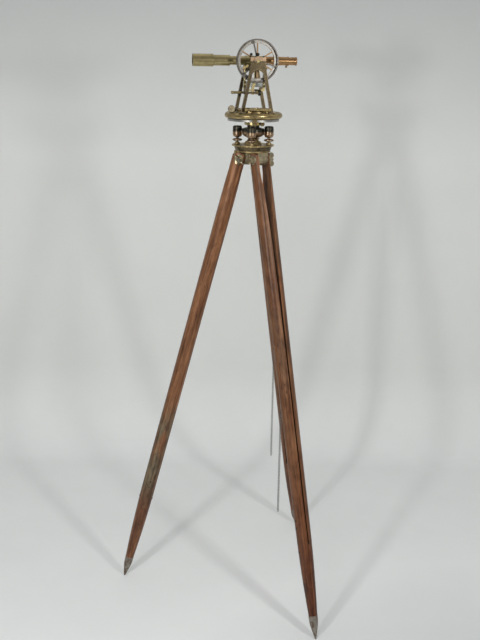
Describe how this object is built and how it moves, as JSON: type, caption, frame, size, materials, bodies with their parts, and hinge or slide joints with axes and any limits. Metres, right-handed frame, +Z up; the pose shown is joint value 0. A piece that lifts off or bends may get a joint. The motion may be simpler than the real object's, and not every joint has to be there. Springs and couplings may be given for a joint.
{
  "type": "surveyors transit on tripod",
  "caption": "Brass transit with telescope, vertical circle, compass and four-screw levelling head on a wooden tripod with split round legs and steel points.",
  "frame": {"origin": "middle of the footprint on the floor", "axes": "+Z up, the level telescope lies along X with its objective towards -X, the vertical circle is on the -Y side"},
  "size_m": [0.6636, 0.71, 1.7494],
  "materials": {
    "aged_brass": "aged, olive brown lacquer, satin",
    "bright_brass": "rubbed bright, satin",
    "copper_brass": "rubbed, coppery, satin",
    "dark_bronze": "dark bronzed, satin",
    "silvered": "silvered, satin",
    "steel": "dull grey, worn",
    "red_wood": "varnished, worn",
    "clear_glass": "clear"
  },
  "bodies": {
    "stand": {"tripod_head": "aged_brass", "plumb_hook": "bright_brass", "foot_plate": "aged_brass", "leveling_shoes": "bright_brass"},
    "left_leg": {"left_leg_near_stile": "red_wood", "left_leg_far_stile": "red_wood", "left_leg_shoe": "steel", "left_leg_fittings": "dark_bronze"},
    "front_leg": {"front_leg_near_stile": "red_wood", "front_leg_far_stile": "red_wood", "front_leg_shoe": "steel", "front_leg_fittings": "dark_bronze"},
    "rear_leg": {"rear_leg_near_stile": "red_wood", "rear_leg_far_stile": "red_wood", "rear_leg_shoe": "steel", "rear_leg_fittings": "dark_bronze"},
    "front_chain": {"front_chain": "steel"},
    "rear_chain": {"rear_chain": "steel"},
    "ball_bush": {"ball_bush": "bright_brass"},
    "leveling_head": {"spider": "aged_brass", "dust_caps": "dark_bronze"},
    "right_leveling_screw": {"right_leveling_screw": "bright_brass"},
    "left_leveling_screw": {"left_leveling_screw": "bright_brass"},
    "rear_leveling_screw": {"rear_leveling_screw": "bright_brass"},
    "front_leveling_screw": {"front_leveling_screw": "bright_brass"},
    "limb": {"lower_limb": "silvered", "lower_clamp": "aged_brass"},
    "lower_clamp_screw": {"lower_clamp_screw": "bright_brass"},
    "lower_tangent_screw": {"lower_tangent_screw": "bright_brass"},
    "alidade": {"vernier_plate": "aged_brass", "compass_box": "bright_brass", "compass_glass": "clear_glass", "front_plate_level": "bright_brass", "side_plate_level": "bright_brass", "plate_vials": "clear_glass", "near_standard": "aged_brass", "far_standard": "aged_brass", "bearing_caps": "bright_brass", "cap_screws": "dark_bronze", "circle_guard": "dark_bronze", "circle_vernier": "bright_brass", "spring_barrel": "bright_brass"},
    "plate_clamp_screw": {"plate_clamp_screw": "bright_brass"},
    "plate_tangent_screw": {"plate_tangent_screw": "steel"},
    "compass_needle": {"compass_needle": "dark_bronze"},
    "spring_plunger": {"spring_plunger": "steel"},
    "vertical_tangent_screw": {"vertical_tangent_screw": "dark_bronze"},
    "clamp_arm": {"clamp_arm": "aged_brass"},
    "vertical_clamp_screw": {"vertical_clamp_screw": "bright_brass"},
    "telescope": {"telescope_tube": "aged_brass", "vertical_circle": "silvered", "telescope_level": "aged_brass", "telescope_vial": "clear_glass"},
    "focus_knob": {"focus_knob": "bright_brass"},
    "objective_slide": {"objective_slide": "aged_brass", "objective_lens": "clear_glass"},
    "sunshade": {"sunshade": "aged_brass"},
    "eyepiece": {"eyepiece": "copper_brass", "eye_lens": "clear_glass"}
  },
  "joints": [
    {"name": "left_leg_fold", "type": "hinge", "parent": "stand", "child": "left_leg", "pos_m": [0.03713, 0.03181, 1.409], "axis": [0.1288, 0.9917, 0], "range_deg": [-14, 20]},
    {"name": "front_leg_fold", "type": "hinge", "parent": "stand", "child": "front_leg", "pos_m": [0.09492, -0.01237, 1.409], "axis": [-0.9232, -0.3843, 0], "range_deg": [-14, 20]},
    {"name": "rear_leg_fold", "type": "hinge", "parent": "stand", "child": "rear_leg", "pos_m": [0.10429, 0.05977, 1.409], "axis": [0.7944, -0.6074, 0], "range_deg": [-14, 20]},
    {"name": "front_chain_swing", "type": "hinge", "parent": "front_leg", "child": "front_chain", "pos_m": [0.15059, -0.1461, 0.73369], "axis": [-0.9232, -0.3843, 0], "range_deg": [-25, 20]},
    {"name": "rear_chain_swing", "type": "hinge", "parent": "rear_leg", "child": "rear_chain", "pos_m": [0.18767, 0.16882, 0.76271], "axis": [0.7944, -0.6074, 0], "range_deg": [-25, 20]},
    {"name": "head_tilt_sideways", "type": "hinge", "parent": "stand", "child": "ball_bush", "pos_m": [0.07878, 0.0264, 1.4573], "axis": [0.2756, 0.9613, 0], "range_deg": [-4, 4]},
    {"name": "head_tilt_lengthways", "type": "hinge", "parent": "ball_bush", "child": "leveling_head", "pos_m": [0.07878, 0.0264, 1.4573], "axis": [0.9613, -0.2756, 0], "range_deg": [-4, 4]},
    {"name": "right_leveling_screw_rise", "type": "slide", "parent": "leveling_head", "child": "right_leveling_screw", "axis": [0, 0, 1], "range_m": [-0.0034, 0.0034]},
    {"name": "left_leveling_screw_rise", "type": "slide", "parent": "leveling_head", "child": "left_leveling_screw", "axis": [0, 0, 1], "range_m": [-0.0034, 0.0034]},
    {"name": "rear_leveling_screw_rise", "type": "slide", "parent": "leveling_head", "child": "rear_leveling_screw", "axis": [0, 0, 1], "range_m": [-0.0034, 0.0034]},
    {"name": "front_leveling_screw_rise", "type": "slide", "parent": "leveling_head", "child": "front_leveling_screw", "axis": [0, 0, 1], "range_m": [-0.0034, 0.0034]},
    {"name": "lower_turn", "type": "hinge", "parent": "leveling_head", "child": "limb", "pos_m": [0.07878, 0.0264, 1.5195], "axis": [0, 0, 1], "continuous": true},
    {"name": "lower_clamp_turn", "type": "hinge", "parent": "limb", "child": "lower_clamp_screw", "pos_m": [0.09287, -0.00009, 1.5122], "axis": [0.4695, -0.8829, 0], "range_deg": [0, 180]},
    {"name": "lower_tangent_turn", "type": "hinge", "parent": "limb", "child": "lower_tangent_screw", "pos_m": [0.09378, 0.0684, 1.5122], "axis": [1, 0, 0], "range_deg": [-1080, 1080]},
    {"name": "plate_turn", "type": "hinge", "parent": "limb", "child": "alidade", "pos_m": [0.07878, 0.0264, 1.544], "axis": [0, 0, 1], "continuous": true},
    {"name": "plate_clamp_turn", "type": "hinge", "parent": "alidade", "child": "plate_clamp_screw", "pos_m": [0.06879, -0.05499, 1.5175], "axis": [-0.1219, -0.9925, 0], "range_deg": [0, 180]},
    {"name": "plate_tangent_turn", "type": "hinge", "parent": "alidade", "child": "plate_tangent_screw", "pos_m": [0.00878, 0.0044, 1.5545], "axis": [0, 1, 0], "range_deg": [-1080, 1080]},
    {"name": "needle_swing", "type": "hinge", "parent": "alidade", "child": "compass_needle", "pos_m": [0.07878, 0.0264, 1.549], "axis": [0, 0, 1], "continuous": true},
    {"name": "vertical_slow_motion", "type": "hinge", "parent": "alidade", "child": "clamp_arm", "pos_m": [0.07878, -0.0098, 1.689], "axis": [0, 1, 0], "range_deg": [-0.9, 0.9]},
    {"name": "vertical_tangent_travel", "type": "slide", "parent": "alidade", "child": "vertical_tangent_screw", "axis": [1, 0, 0], "range_m": [-0.0016, 0.0016]},
    {"name": "spring_plunger_travel", "type": "slide", "parent": "alidade", "child": "spring_plunger", "axis": [1, 0, 0], "range_m": [-0.0016, 0.0016]},
    {"name": "vertical_clamp_turn", "type": "hinge", "parent": "clamp_arm", "child": "vertical_clamp_screw", "pos_m": [0.09646, -0.0098, 1.67132], "axis": [0.7071, 0, -0.7071], "range_deg": [0, 180]},
    {"name": "telescope_elevation", "type": "hinge", "parent": "clamp_arm", "child": "telescope", "pos_m": [0.07878, 0.0264, 1.689], "axis": [0, 1, 0], "range_deg": [-45, 225]},
    {"name": "objective_focus", "type": "slide", "parent": "telescope", "child": "objective_slide", "axis": [-1, 0, 0], "range_m": [0, 0.02]},
    {"name": "focus_knob_turn", "type": "hinge", "parent": "telescope", "child": "focus_knob", "pos_m": [0.04478, 0.0464, 1.689], "axis": [0, 1, 0], "range_deg": [0, 330]},
    {"name": "sunshade_slide", "type": "slide", "parent": "objective_slide", "child": "sunshade", "axis": [-1, 0, 0], "range_m": [0, 0.04]},
    {"name": "eyepiece_focus", "type": "slide", "parent": "telescope", "child": "eyepiece", "axis": [1, 0, 0], "range_m": [-0.002, 0.004]}
  ],
  "couplings": [
    {"joint": "front_chain_swing", "follows": "front_leg_fold", "ratio": -1},
    {"joint": "rear_chain_swing", "follows": "rear_leg_fold", "ratio": -1},
    {"joint": "right_leveling_screw_rise", "follows": "head_tilt_sideways", "m_per_rad": 0.047},
    {"joint": "left_leveling_screw_rise", "follows": "head_tilt_sideways", "m_per_rad": -0.047},
    {"joint": "rear_leveling_screw_rise", "follows": "head_tilt_lengthways", "m_per_rad": -0.047},
    {"joint": "front_leveling_screw_rise", "follows": "head_tilt_lengthways", "m_per_rad": 0.047},
    {"joint": "vertical_tangent_travel", "follows": "vertical_slow_motion", "m_per_rad": -0.088},
    {"joint": "spring_plunger_travel", "follows": "vertical_slow_motion", "m_per_rad": -0.088},
    {"joint": "focus_knob_turn", "follows": "objective_focus", "rad_per_m": 285}
  ]
}
